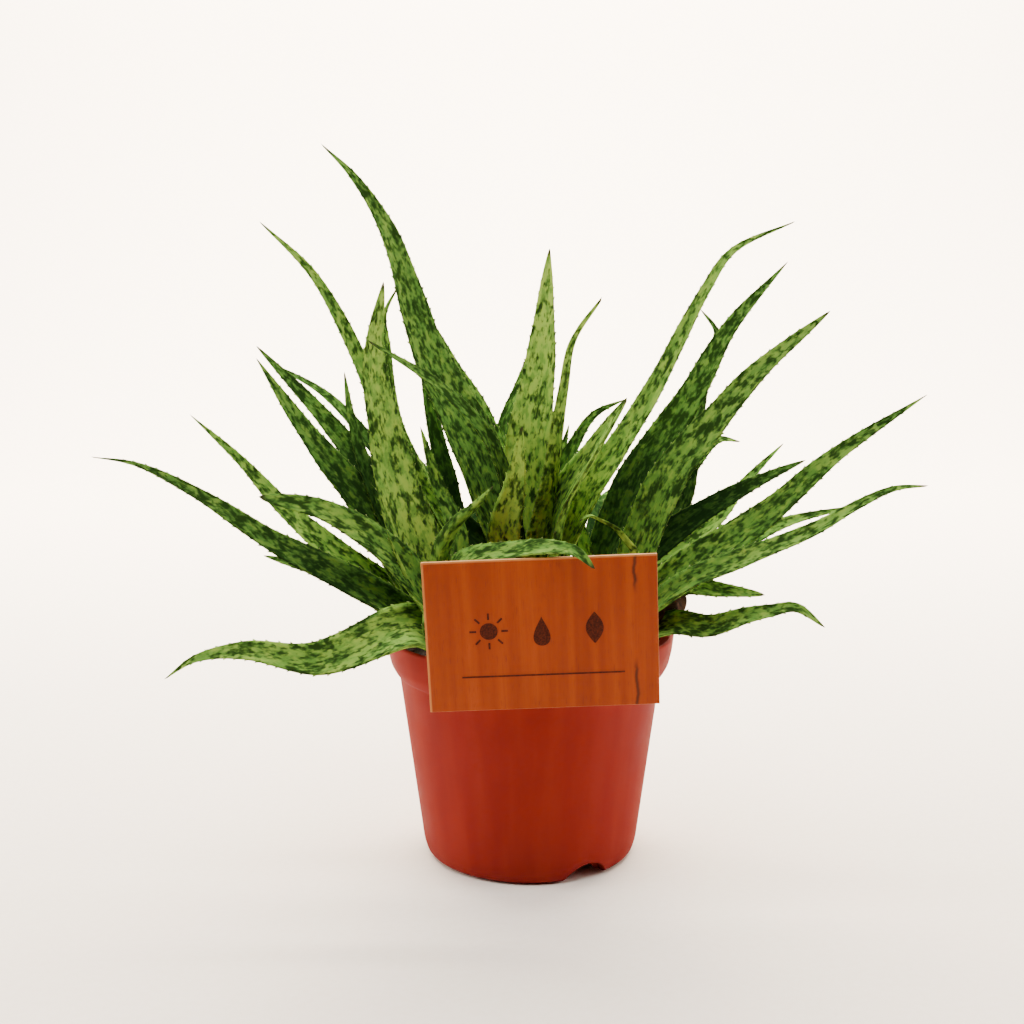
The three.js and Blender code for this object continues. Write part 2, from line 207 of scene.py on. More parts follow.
STEMS = {
    "front_left": (-33, -20),
    "left": (-41, 6),
    "back_left": (-22, 28),
    "middle": (2, 0),
    "front_right": (36, -14),
    "back_right": (26, 28),
}

# Each rosette's leaves, outermost first: width at the foot, how fast the width tapers, roll about the
# centre line, how much dark green the skin carries from 0 to 1 (partly the leaf's own colour, partly
# painted shade on leaves that sit in shadow), and the points from stem to tip.
LEAVES = {
    "front_left": [
        (28, 1, -50, 0.3, [
            (-47, -34, 103), (-84, -37, 92), (-113, -35, 95), (-133, -34, 91.5), (-146, -34, 83),
        ]),
        (25, 0.7, 30, 0.55, [
            (-32, -42, 128), (-5, -60, 140.5), (7, -65.5, 143), (17, -71.5, 142.5), (24, -76, 137),
        ]),
        (18.5, 1, -50, 0.75, [
            (-76, -22, 122), (-104, -18, 136), (-133, -14, 154), (-159, -10, 166), (-178, -8, 169),
        ]),
        (18, 0.5, -60, 0.5, [(-53, -30, 131), (-79, -38, 151.5), (-104, -46, 159)]),
        (12, 0.7, -40, 0.5, [(-35, -35, 135), (-29, -39, 147), (-21, -42, 155), (-14, -45, 163)]),
        (27, 0.7, -20, 0.2, [(-51, -20, 149), (-58, -12, 177), (-63, -6, 209), (-59, 0, 239)]),
        (12, 0.7, -20, 0.5, [(-30, -10, 138), (-38, -2, 157), (-45, 2, 180)]),
    ],
    "left": [
        (15, 0.7, -40, 0.7, [(-83, 14, 115), (-99, 20, 118), (-115, 26, 121)]),
        (18, 0.7, -60, 0.8, [(-65, 8, 109), (-76, 12, 114), (-89, 16, 121)]),
        (17, 0.87, -45, 0.3, [(-85, 10, 128), (-104, 16, 143.5), (-123, 22, 163), (-145, 28, 182)]),
        (25, 0.85, -40, 0.75, [(-68, 10, 144), (-85, 16, 164), (-100, 22, 183), (-116, 28, 206)]),
        (13, 0.7, -20, 0.95, [(-69, 16, 160), (-76, 24, 182), (-79, 30, 200)]),
    ],
    "back_left": [
        (20, 0.7, 0, 1, [(-56, 66, 122), (-92, 100, 120)]),
        (20, 0.7, 0, 1, [(-22, 78, 132), (-18, 126, 134)]),
        (19, 0.7, -40, 0.9, [(-64, 46, 144), (-91, 58, 176), (-123, 70, 208)]),
        (18, 0.7, 0, 1, [(-44, 70, 142), (-58, 108, 156)]),
        (13, 0.7, -20, 1, [(-72, 60, 166), (-93, 72, 186), (-120, 88, 199)]),
        (14, 0.7, -50, 0.3, [(-60, 36, 171), (-73, 40, 203), (-93, 44, 240), (-116, 46, 263)]),
        (14, 0.7, 0, 0.6, [(-58, 42, 176), (-62, 46, 209), (-63, 47, 223), (-57, 48, 235)]),
        (16, 0.7, 0, 0.7, [(-11, 40, 176), (-5, 44, 192), (2, 48, 213)]),
    ],
    "middle": [
        (33, 0.7, 50, 0.3, [(11, -12, 148), (24, -19, 172), (38, -26, 195)]),
        (22, 0.7, 170, 0.1, [(-10, -20, 137), (-6, -29, 160), (-3, -36, 185)]),
        (32, 0.9, -40, 0.6, [
            (-23.5, 4, 171), (-42, 12, 209), (-59, 22, 259), (-73, 26, 281), (-87, 30, 295),
        ]),
        (16, 0.8, 50, 0.25, [(24, -2, 151), (50, 2, 194), (71, 4, 235), (82, 5, 251), (107, 6, 263)]),
        (19, 0.7, -40, 0.5, [(-20, 30, 178), (-35, 44, 204), (-44, 52, 222)]),
        (13, 0.7, -60, 0.85, [(-15, -16, 174), (-34, -26, 198), (-62, -36, 218)]),
        (18, 0.7, 0, 1, [(4, 62, 138), (8, 100, 150)]),
        (15, 0.5, -20, 1, [(-31, 10, 140), (-36, 18, 157), (-40, 23, 173), (-46, 28, 204)]),
        (11, 0.7, 50, 0.75, [(12, 8, 157), (19, 14, 172), (27, 18, 183), (40, 22, 189)]),
        (23, 0.7, 30, 0.25, [(9, -12, 170), (13, -17, 199), (16.5, -19, 217), (28, -22, 234)]),
        (31, 0.75, 0, 0, [(1, 5, 173), (5, 10, 207), (8, 14, 252)]),
    ],
    "front_right": [
        (15, 0.7, 50, 0.5, [
            (58, -24, 103), (72, -28, 103), (86, -34, 109), (95, -38, 112), (104, -41, 114),
            (115, -45, 107),
        ]),
        (15, 0.6, 50, 0.5, [(60, -11, 115.5), (78, -8, 113.5), (97, -6, 111)]),
        (14, 0.7, 45, 0.5, [
            (64, -28, 122), (86, -34, 133), (111, -39, 145), (127, -41, 155), (140, -43, 161.5),
            (153, -44, 163),
        ]),
        (14, 0.7, 40, 0.5, [(83, 4, 127), (106, 14, 137), (136, 22, 143)]),
        (20, 0.85, 50, 0.5, [(68, -10, 125), (98, -4, 145), (125, 0, 168), (163, 4, 193)]),
        (9, 0.7, -20, 0.2, [
            (41, -32, 134), (37, -36, 141), (33, -39, 146), (28, -41, 149), (23, -42, 151),
            (19, -43, 149),
        ]),
        (22, 0.7, 50, 0.5, [(56, -6, 158), (76, 0, 183), (93, 4, 202), (123, 8, 227)]),
    ],
    "back_right": [
        (20, 0.7, 0, 1, [(60, 70, 122), (96, 104, 120)]),
        (20, 0.7, 0, 1, [(34, 78, 130), (40, 126, 134)]),
        (18, 0.7, 50, 1, [(63, 34, 130), (84, 38, 143), (104, 41, 153), (121, 44, 160)]),
        (13, 0.7, 30, 0.4, [(82, 54, 130), (98, 66, 147), (116, 76, 163)]),
        (16, 0.7, 50, 0.6, [(70, 74, 148), (88, 94, 162), (100, 104, 160)]),
        (25, 0.85, 50, 0.85, [(48, 30, 156), (61, 32, 176), (71, 34, 192), (86, 40, 218), (111, 46, 246)]),
        (20, 0.7, 30, 0.8, [(64, 50, 137), (71, 60, 158), (76, 67, 180), (82, 70, 203)]),
        (15, 0.7, 50, 0.9, [(62, 66, 168), (84, 86, 202), (86, 92, 213), (79, 96, 223)]),
        (11, 0.7, 0, 0.4, [(14, 36, 161), (17, 42, 176)]),
    ],
}

DRY_LEAF = (24, 0.7, 70, 0.5, [(53, -18, 108), (60, -16, 111), (63, -12, 105)])


# Shader helpers
def srgb(red, green, blue):
    """A colour given as it shows on screen, 0 to 255, in the renderer's linear values."""
    return tuple(
        (v / 255 / 12.92) if v <= 10 else ((v / 255 + 0.055) / 1.055) ** 2.4 for v in (red, green, blue)
    ) + (1.0,)


# The Mix node's sockets for colours
COLOUR_A = 6
COLOUR_B = 7
COLOUR_RESULT = 2

# Colours of the leaf's skin
SKIN_LIGHT = srgb(136, 171, 70)
SKIN_MIDDLE = srgb(108, 151, 58)
SKIN_YELLOW = srgb(160, 192, 78)
SKIN_STREAK = srgb(86, 131, 52)
SKIN_WARM = srgb(162, 188, 74)
SKIN_SHADED = srgb(62, 100, 44)
SKIN_VEIN = srgb(166, 188, 92)
FLECK = srgb(56, 87, 36)
FLECK_HEART = srgb(27, 46, 16)
CROWD_SHADOW = srgb(16, 33, 15)
PALE_FOOT = srgb(186, 198, 124)
MARGIN = srgb(146, 176, 82)
TOOTH = srgb(214, 210, 158)
LEAF_TIP = srgb(56, 60, 34)

# Colours of the rest
DRY_BROWN = srgb(34, 22, 14)
DRY_STAIN = srgb(58, 38, 24)
DRY_CREASE = srgb(18, 12, 9)
POT_RED = srgb(119, 31, 25)
POT_FLOW = srgb(125, 36, 27)
POT_DUST = srgb(146, 48, 32)
SOIL_DARK = srgb(30, 21, 16)
SOIL_BROWN = srgb(74, 53, 38)
SOIL_FIBRE = srgb(122, 92, 60)
STEM_GREEN = srgb(156, 150, 92)
STEM_PALE = srgb(188, 186, 128)
STEM_SCAR = srgb(104, 78, 48)
WOOD_LINE = srgb(122, 46, 12)
WOOD_PORE = srgb(86, 32, 14)
BOARD_LIGHT = srgb(147, 59, 9)
BOARD_DARK = srgb(130, 47, 6)
BOARD_STREAK = srgb(58, 24, 12)
BARE_WOOD = srgb(204, 138, 76)
EDGE_LIGHT = srgb(196, 138, 80)
EDGE_DARK = srgb(176, 114, 60)
EDGE_PALE = srgb(204, 150, 92)
BURNT_DARK = srgb(50, 18, 8)
BURNT_BROWN = srgb(76, 28, 12)
STAKE_LIGHT = srgb(176, 110, 60)
STAKE_DARK = srgb(122, 70, 36)
PAPER = srgb(254, 242, 226)
PAPER_TOOTH = srgb(252, 239, 222)


class Shader:
    """A material's node tree, with short calls for the nodes that the finishes share."""

    def __init__(self, name, roughness, gloss=0.5):
        self.material = bpy.data.materials.new(name)
        self.material.use_nodes = True
        self.nodes = self.material.node_tree.nodes
        self.links = self.material.node_tree.links
        self.surface = self.nodes["Principled BSDF"]
        self.surface.inputs["Roughness"].default_value = roughness
        self.surface.inputs["Specular IOR Level"].default_value = gloss

    def put(self, socket, value):
        """Links a socket to another, or sets its constant."""
        if isinstance(value, bpy.types.NodeSocket):
            self.links.new(value, socket)
        else:
            socket.default_value = value

    def attribute(self, name):
        node = self.nodes.new("ShaderNodeAttribute")
        node.attribute_name = name
        return node.outputs["Vector"]

    def parts(self, vector):
        node = self.nodes.new("ShaderNodeSeparateXYZ")
        self.put(node.inputs[0], vector)
        return node.outputs

    def object_place(self):
        return self.nodes.new("ShaderNodeTexCoord").outputs["Object"]

    def scaled(self, vector, scale):
        node = self.nodes.new("ShaderNodeMapping")
        self.put(node.inputs["Vector"], vector)
        node.inputs["Scale"].default_value = scale
        return node.outputs[0]

    def noise(self, vector, scale=1.0, detail=2.0, roughness=0.5, distortion=0.0):
        node = self.nodes.new("ShaderNodeTexNoise")
        self.put(node.inputs["Vector"], vector)
        node.inputs["Scale"].default_value = scale
        node.inputs["Detail"].default_value = detail
        node.inputs["Roughness"].default_value = roughness
        node.inputs["Distortion"].default_value = distortion
        return node.outputs["Fac"]

    def math(self, operation, one, other=0.0):
        node = self.nodes.new("ShaderNodeMath")
        node.operation = operation
        self.put(node.inputs[0], one)
        self.put(node.inputs[1], other)
        return node.outputs[0]

    def step(self, value, low, high):
        """0 below low and 1 above high, smooth between. Either limit may be a socket."""
        node = self.nodes.new("ShaderNodeMapRange")
        node.interpolation_type = "SMOOTHSTEP"
        self.put(node.inputs["Value"], value)
        self.put(node.inputs["From Min"], low)
        self.put(node.inputs["From Max"], high)
        return node.outputs[0]

    def mix(self, share, one, other):
        """One colour at a share of 0 and the other at 1."""
        node = self.nodes.new("ShaderNodeMix")
        node.data_type = "RGBA"
        self.put(node.inputs["Factor"], share)
        self.put(node.inputs[COLOUR_A], one)
        self.put(node.inputs[COLOUR_B], other)
        return node.outputs[COLOUR_RESULT]

    def tint(self, base, mask, amount, colour):
        """The base with a colour over it, as much as the mask times the amount."""
        return self.mix(self.math("MULTIPLY", mask, amount), base, colour)

    def bump(self, height, distance, strength=1.0):
        node = self.nodes.new("ShaderNodeBump")
        node.inputs["Distance"].default_value = distance
        node.inputs["Strength"].default_value = strength
        self.put(node.inputs["Height"], height)
        self.put(self.surface.inputs["Normal"], node.outputs[0])

    def colour(self, value):
        self.put(self.surface.inputs["Base Color"], value)

    def roughness(self, value):
        self.put(self.surface.inputs["Roughness"], value)


# Materials
def leaf_material():
    """Yellow-green skin with dark green flecks, cream teeth, a brown tip and painted shade in the crowd."""
    s = Shader("aloe_skin", 0.6, gloss=0.0)
    grain = s.attribute("grain")
    edge, along, shade = s.parts(s.attribute("place"))[:3]
    x, y, height = s.parts(s.object_place())[:3]
    radius = s.math("SQRT", s.math("ADD", s.math("MULTIPLY", x, x), s.math("MULTIPLY", y, y)))
    broad = s.noise(s.scaled(grain, (0.05, 0.02, 1)))
    tone = s.noise(s.scaled(grain, (0.5, 0.22, 1.7)), detail=3)
    blotch = s.noise(s.scaled(grain, (0.3, 0.13, 1)), detail=3, roughness=0.55, distortion=0.4)
    fleck = s.noise(s.scaled(grain, (0.8, 0.32, 1)), distortion=0.3)
    vein = s.noise(s.scaled(grain, (2.6, 0.05, 1)))
    marks = s.math("ADD", s.math("MULTIPLY", blotch, 0.55), s.math("MULTIPLY", fleck, 0.45))

    # The flecks crowd where the cover is low: on shaded leaves and at the margins, less at the foot.
    cover = s.math("SUBTRACT", 0.52, s.math("MULTIPLY", shade, 0.09))
    cover = s.math("SUBTRACT", cover, s.math("MULTIPLY", s.math("POWER", edge, 4.0), 0.02))
    cover = s.math("ADD", cover, s.math("MULTIPLY", s.step(along, 0.34, 0.0), 0.03))
    dark = s.step(marks, s.math("SUBTRACT", cover, 0.03), s.math("ADD", cover, 0.055))
    deep = s.step(marks, s.math("ADD", cover, 0.03), s.math("ADD", cover, 0.12))

    # Painted shade: the darkest leaves darken low down near the pot's middle, where the crowd shades them.
    crowd = s.math("MULTIPLY", s.step(height, 0.19, 0.15), s.step(radius, 0.125, 0.085))
    shadow = s.math("MULTIPLY", crowd, s.step(shade, 0.45, 0.95))
    pale = s.math("SUBTRACT", 0.7, s.math("MULTIPLY", shade, 0.65))

    skin = s.mix(s.step(broad, 0.35, 0.65), SKIN_LIGHT, SKIN_MIDDLE)
    skin = s.tint(skin, s.step(shade, 0.4, 0.1), 0.5, SKIN_YELLOW)
    skin = s.tint(skin, s.step(tone, 0.47, 0.62), 0.7, SKIN_STREAK)
    skin = s.tint(skin, s.step(tone, 0.46, 0.34), 0.5, SKIN_WARM)
    # Partly painted shade: leaves with a high shade value, many of them sitting in shadow, turn a darker
    # green
    skin = s.tint(skin, shade, 0.75, SKIN_SHADED)
    skin = s.tint(skin, s.step(vein, 0.5, 0.7), 0.12, SKIN_VEIN)
    skin = s.tint(skin, dark, 0.85, FLECK)
    skin = s.tint(skin, deep, 0.85, FLECK_HEART)
    # Painted shadow deep in the crowd of leaves
    skin = s.tint(skin, shadow, 0.78, CROWD_SHADOW)
    skin = s.tint(skin, s.step(along, 0.08, 0.0), pale, PALE_FOOT)
    skin = s.tint(skin, s.step(edge, 0.955, 1.0), 0.25, MARGIN)
    skin = s.mix(s.step(edge, 1.0, 1.004), skin, TOOTH)
    s.colour(s.mix(s.step(along, 0.96, 0.99), skin, LEAF_TIP))
    s.roughness(s.step(blotch, -0.2, 1.6))
    s.bump(s.math("ADD", vein, s.math("MULTIPLY", fleck, 0.5)), 0.00012, 0.6)
    return s.material


def dry_material():
    s = Shader("dry_leaf_skin", 0.85, gloss=0.1)
    grain = s.attribute("grain")
    creases = s.noise(s.scaled(grain, (0.9, 0.12, 1)), detail=4, roughness=0.6)
    stains = s.noise(s.scaled(grain, (0.2, 0.12, 1)), detail=3)
    brown = s.mix(s.step(stains, 0.4, 0.62), DRY_BROWN, DRY_STAIN)
    s.colour(s.mix(s.step(creases, 0.52, 0.66), brown, DRY_CREASE))
    s.bump(creases, 0.0008)
    return s.material


def pot_material():
    """Satin terracotta-red plastic with faint upright flow marks and a little dust."""
    s = Shader("pot_plastic", 0.5, gloss=0.04)
    place = s.object_place()
    flow = s.noise(s.scaled(place, (90, 90, 4)), detail=3)
    cloud = s.noise(place, scale=22, detail=4, roughness=0.6)
    speck = s.noise(place, scale=900)
    red = s.mix(s.step(flow, 0.35, 0.65), POT_RED, POT_FLOW)
    s.colour(s.tint(red, s.step(cloud, 0.45, 0.75), 0.12, POT_DUST))
    s.roughness(s.step(cloud, -1.0, 1.4))
    s.bump(s.math("ADD", flow, s.math("MULTIPLY", speck, 0.35)), 0.00012, 0.5)
    return s.material


def soil_material():
    s = Shader("potting_soil", 0.95)
    place = s.object_place()
    lumps = s.noise(place, scale=260, detail=6, roughness=0.65)
    fibres = s.noise(s.scaled(place, (900, 260, 300)), detail=3)
    earth = s.mix(s.step(lumps, 0.4, 0.62), SOIL_DARK, SOIL_BROWN)
    s.colour(s.tint(earth, s.step(fibres, 0.62, 0.72), 0.6, SOIL_FIBRE))
    s.bump(lumps, 0.0025)
    return s.material


def stem_material():
    s = Shader("stem_skin", 0.7)
    place = s.object_place()
    rings = s.noise(s.scaled(place, (60, 60, 420)), detail=3)
    bark = s.mix(s.step(rings, 0.42, 0.6), STEM_GREEN, STEM_PALE)
    s.colour(s.mix(s.step(rings, 0.6, 0.7), bark, STEM_SCAR))
    s.bump(rings, 0.0006)
    return s.material


def wood_material(name, light, dark):
    """Upright wood grain with a few darker pores. The grain runs along the second coordinate."""
    s = Shader(name, 0.55, gloss=0.12)
    grain = s.attribute("grain")
    bands = s.noise(s.scaled(grain, (0.16, 0.006, 1)), detail=3, distortion=0.08)
    lines = s.noise(s.scaled(grain, (1.5, 0.03, 1)), detail=4, roughness=0.6)
    pores = s.noise(s.scaled(grain, (3.2, 0.16, 1)))
    board = s.mix(s.step(bands, 0.32, 0.68), light, dark)
    board = s.tint(board, s.step(lines, 0.46, 0.7), 0.35, WOOD_LINE)
    board = s.tint(board, s.step(pores, 0.62, 0.72), 0.5, WOOD_PORE)
    s.bump(s.math("ADD", lines, pores), 0.00012, 0.6)
    return s, grain, board


def label_material():
    """The label's face: orange-brown wood, a dark upright streak and bare wood at two edges."""
    s, grain, board = wood_material("label_wood", BOARD_LIGHT, BOARD_DARK)
    across, up = s.parts(grain)[:2]
    wander = s.math("MULTIPLY", s.noise(s.scaled(grain, (0.0, 0.18, 1))), STREAK_WANDER)
    offset = s.math("ABSOLUTE", s.math("SUBTRACT", s.math("ADD", across, wander), STREAK_PLACE))
    near = s.step(offset, 1.1, 0.1)
    reach = s.step(s.math("ABSOLUTE", s.math("SUBTRACT", up, 2.0)), 12.0, 19.0)
    board = s.tint(board, s.math("MULTIPLY", near, reach), 0.85, BOARD_STREAK)
    left = s.step(across, BARE_LEFT, BARE_LEFT - BARE_FADE)
    top = s.step(up, BARE_TOP, BARE_TOP + BARE_FADE)
    s.colour(s.tint(board, s.math("MAXIMUM", left, top), 0.5, BARE_WOOD))
    return s.material


def cut_edge_material():
    s, _, board = wood_material("cut_wood_edge", EDGE_LIGHT, EDGE_DARK)
    s.colour(s.mix(0.4, board, EDGE_PALE))
    return s.material


def burnt_material():
    """Marks burnt into the label's face."""
    s = Shader("burnt_mark", 0.75, gloss=0.1)
    char = s.noise(s.object_place(), scale=1500, detail=3)
    s.colour(s.mix(s.step(char, 0.35, 0.65), BURNT_DARK, BURNT_BROWN))
    s.bump(char, 0.0001)
    return s.material


def stage_material():
    s = Shader("studio_paper", 0.9)
    tooth = s.noise(s.object_place(), scale=300)
    s.colour(s.mix(s.step(tooth, 0.3, 0.7), PAPER, PAPER_TOOTH))
    return s.material


def stake_material():
    s = Shader("stake_wood", 0.6)
    lines = s.noise(s.scaled(s.object_place(), (900, 900, 30)), detail=4, roughness=0.6)
    s.colour(s.mix(s.step(lines, 0.4, 0.65), STAKE_LIGHT, STAKE_DARK))
    s.bump(lines, 0.0002)
    return s.material


# Mesh helpers
def add_piece(name, vertices, faces, materials, smooth=True, picks=None):
    """Makes a mesh object, in metres, from vertices in millimetres."""
    mesh = bpy.data.meshes.new(name)
    mesh.from_pydata([tuple(c * MM for c in v) for v in vertices], [], faces)
    for material in materials:
        mesh.materials.append(material)
    if picks is not None:
        mesh.polygons.foreach_set("material_index", picks)
    mesh.polygons.foreach_set("use_smooth", [smooth] * len(mesh.polygons))
    mesh.update()
    piece = bpy.data.objects.new(name, mesh)
    bpy.context.scene.collection.objects.link(piece)
    return piece


def add_attribute(piece, name, values):
    layer = piece.data.attributes.new(name, "FLOAT_VECTOR", "POINT")
    layer.data.foreach_set("vector", np.asarray(values, np.float32).ravel())


def place_piece(piece, slot, *nodes):
    """Puts a piece on the part's one body, in place of the nodes that it dresses. The slot is not used."""
    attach(piece, "root")
    if nodes:
        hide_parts(*nodes)


def apply_modifiers(piece):
    shaped = piece.evaluated_get(bpy.context.evaluated_depsgraph_get())
    mesh = bpy.data.meshes.new_from_object(shaped)
    piece.modifiers.clear()
    piece.data = mesh


def cut(piece, cutter):
    boolean = piece.modifiers.new("cut", "BOOLEAN")
    boolean.operation = "DIFFERENCE"
    boolean.solver = "EXACT"
    boolean.object = cutter
    apply_modifiers(piece)
    bpy.data.objects.remove(cutter)


def face_out(piece):
    work = bmesh.new()
    work.from_mesh(piece.data)
    bmesh.ops.recalc_face_normals(work, faces=work.faces)
    work.to_mesh(piece.data)
    work.free()


def shade_by_angle(piece, degrees):
    """Smooth shading, with edges sharper than the angle kept crisp."""
    work = bmesh.new()
    work.from_mesh(piece.data)
    for edge in work.edges:
        edge.smooth = len(edge.link_faces) == 2 and edge.calc_face_angle() < math.radians(degrees)
    for face in work.faces:
        face.smooth = True
    work.to_mesh(piece.data)
    work.free()


# Shared measures
def lerp(low, high, share):
    return low + (high - low) * share


def soil_height(x, y):
    radius = math.hypot(x, y)
    dome = SOIL_EDGE + SOIL_CROWN * (1 - (radius / NECK_RADIUS) ** 2)
    crumbs = math.sin(x * 0.42 + 1.3) * math.cos(y * 0.37 - 0.6) + 0.6 * math.sin(x * 0.9 + y * 0.8)
    return dome + 1.1 * crumbs


def inner_radius(height):
    share = (height - FOOT_HEIGHT) / (NECK_HEIGHT - FOOT_HEIGHT)
    return lerp(BASE_RADIUS, NECK_RADIUS, share) - WALL


# Leaves
def centre_line(points):
    """A centripetal Catmull-Rom curve through the points, sampled closely."""
    knots = [2 * points[0] - points[1], *points, 2 * points[-1] - points[-2]]
    line = []
    for a, b, c, d in zip(knots, knots[1:], knots[2:], knots[3:]):
        first, middle, last = (np.linalg.norm(q - p) ** 0.5 for p, q in ((a, b), (b, c), (c, d)))
        out = ((b - a) / first - (c - a) / (first + middle) + (c - b) / middle) * middle
        into = ((c - b) / middle - (d - b) / (middle + last) + (d - c) / last) * middle
        square = 3 * (c - b) - 2 * out - into
        cube = 2 * (b - c) + out + into
        for k in range(CURVE_SAMPLES):
            u = k / CURVE_SAMPLES
            line.append(b + u * out + u * u * square + u**3 * cube)
    line.append(points[-1])
    return np.array(line)


def leaf_root(stem, rank, first):
    """Where a leaf leaves its stem: on the side it heads for, higher for each rank inwards."""
    heading = math.atan2(first[1] - stem[1], first[0] - stem[0])
    height = soil_height(*stem) + LEAF_FOOT + rank * LEAF_STEP
    x = stem[0] + ROOT_REACH * math.cos(heading)
    y = stem[1] + ROOT_REACH * math.sin(heading)
    return np.array([x, y, height])


class Blade:
    """A leaf's centre line and its section at any share of its length."""

    def __init__(self, root, leaf, seed):
        self.width, self.taper, self.roll, self.shade, path = leaf
        self.seed = seed
        line = centre_line([root, *(np.array(p, float) for p in path)])
        steps = np.linalg.norm(np.diff(line, axis=0), axis=1)
        run = np.concatenate([[0], np.cumsum(steps)])
        self.length = run[-1]
        self.shares = run / self.length
        self.line = line
        self.slopes = np.gradient(line, self.shares, axis=0)
        self.across = np.array([root[1] - line[-1][1], line[-1][0] - root[0], 0.0])

    def frame(self, t):
        """The centre at t, and the directions along, to the side and up."""
        centre = np.array([np.interp(t, self.shares, self.line[:, k]) for k in range(3)])
        along = np.array([np.interp(t, self.shares, self.slopes[:, k]) for k in range(3)])
        along /= np.linalg.norm(along)
        side = self.across - along * (self.across @ along)
        side /= np.linalg.norm(side)
        angle = math.radians(self.roll * min(1, TWIST_AT_FOOT + TWIST_PACE * t))
        side = side * math.cos(angle) + np.cross(along, side) * math.sin(angle)
        return centre, along, side, np.cross(along, side)

    def section(self, t):
        """Half width, thickness and channel depth at t, with a little waviness in the width."""
        taper = (1 - t) ** self.taper * lerp(FOOT_SHARE, 1, min(1, t / FOOT_LENGTH))
        wave = math.sin(t * self.length * RIPPLE_PACE + self.seed * RIPPLE_SHIFT)
        half = self.width / 2 * taper * (1 + RIPPLE_SHARE * wave)
        thickness = (TIP_THICKNESS + THICKNESS_SHARE * self.width * taper) * FLESH
        return half, thickness, half * (TIP_CHANNEL + CHANNEL_GAIN * (1 - t) ** 2)


# Points round a leaf's section, as shares of its half width: over the channel, then round the keel
UPPER = [1 - 2 * k / UPPER_POINTS for k in range(UPPER_POINTS)]
LOWER = [-math.cos(math.pi * k / LOWER_POINTS) for k in range(LOWER_POINTS)]


def leaf_rings(blade, rng):
    """Ring positions along a leaf, each with how far its right and left margins stand out in teeth."""
    rings = [(t, 0.0, 0.0) for t in np.arange(0, 1, RING_STEP / blade.length)]
    teeth = int(blade.length * (TEETH_TO - TEETH_FROM) / TOOTH_PITCH)
    for k in range(teeth):
        for margin in (0, 1):
            jitter = rng.uniform(-TOOTH_JITTER, TOOTH_JITTER)
            t = lerp(TEETH_FROM, TEETH_TO, (k + 0.5 * margin + jitter) / teeth)
            growth = min(1, TIP_TOOTH_SHARE + blade.section(t)[0] / FULL_TOOTH_WIDTH)
            height = TOOTH_HEIGHT * rng.uniform(*TOOTH_SPREAD) * growth
            for offset, share in TOOTH_OUTLINE:
                reach = [0.0, 0.0]
                reach[margin] = share * height
                rings.append((t + offset / blade.length, *reach))
    rings.sort()
    kept = [rings[0]]
    for ring in rings[1:]:
        if ring[0] - kept[-1][0] > LEAST_RING_STEP / blade.length:
            kept.append(ring)
    return [ring for ring in kept if 0 <= ring[0] < LAST_RING]


def leaf_faces(rings):
    """Quads between the rings, and a fan to the tip and to the foot, which are the last two vertices."""
    count = len(UPPER) + len(LOWER)
    top = (rings - 1) * count
    tip = rings * count
    faces = []
    for start in range(0, top, count):
        for j in range(count):
            k = (j + 1) % count
            faces.append((start + j, start + k, start + count + k, start + count + j))
    for j in range(count):
        k = (j + 1) % count
        faces.append((top + j, top + k, tip))
        faces.append((k, j, tip + 1))
    return faces


def add_leaf(name, root, leaf, seed, material, slot):
    """A leaf with its teeth. Its grain attribute runs in millimetres, and its place attribute holds how
    near the margin a point is, its share of the length and the leaf's shade."""
    blade = Blade(root, leaf, seed)
    rings = leaf_rings(blade, random.Random(seed))
    start = seed * GRAIN_SHIFT
    vertices, grain, place = [], [], []
    for t, right, left in rings:
        centre, along, side, up = blade.frame(t)
        half, thickness, channel = blade.section(t)
        for k, s in enumerate(UPPER + LOWER):
            reach = right if s == 1 else left if s == -1 else 0.0
            bend = abs(s) ** CHANNEL_POWER
            if k < len(UPPER):
                height = channel * bend
            else:
                height = channel - (channel + thickness) * (1 - bend) ** KEEL_POWER
            width = s * half + math.copysign(reach, s)
            vertices.append(centre + side * width + up * height + along * reach * TOOTH_LEAN)
            grain.append((width, t * blade.length, start))
            place.append((min(1.0, abs(s)) + reach * TOOTH_MARK, t, blade.shade))
    vertices.extend((blade.line[-1], blade.frame(0)[0]))
    grain.extend(((0, blade.length, start), (0, 0, start)))
    place.extend(((0.5, 1.0, blade.shade), (0.0, 0.0, blade.shade)))
    piece = add_piece("fine_" + name, vertices, leaf_faces(len(rings)), [material])
    add_attribute(piece, "grain", grain)
    add_attribute(piece, "place", place)
    face_out(piece)
    place_piece(piece, slot, name)


def add_rosettes():
    skin = leaf_material()
    seed = 1
    for rosette, leaves in LEAVES.items():
        for rank, leaf in enumerate(leaves):
            root = leaf_root(STEMS[rosette], rank, leaf[-1][0])
            add_leaf(f"{rosette}_leaf_{rank + 1}", root, leaf, seed, skin, "leaf")
            seed += 1
    root = leaf_root(STEMS["front_right"], 0, DRY_LEAF[-1][0])
    add_leaf("dry_leaf", root, DRY_LEAF, seed, dry_material(), "dry")


# Pot, soil and stems
def revolve(profile, segments):
    """A closed surface from a profile of radius and height, which starts and ends on the axis."""
    vertices, faces, starts = [], [], []
    for radius, height in profile:
        starts.append(len(vertices))
        if radius == 0:
            vertices.append((0, 0, height))
            continue
        for k in range(segments):
            angle = 2 * math.pi * k / segments
            vertices.append((radius * math.cos(angle), radius * math.sin(angle), height))
    for i in range(len(profile) - 1):
        low, high = starts[i], starts[i + 1]
        for j in range(segments):
            k = (j + 1) % segments
            if profile[i][0] == 0:
                faces.append((low, high + k, high + j))
            elif profile[i + 1][0] == 0:
                faces.append((low + j, low + k, high))
            else:
                faces.append((low + j, low + k, high + k, high + j))
    return vertices, faces


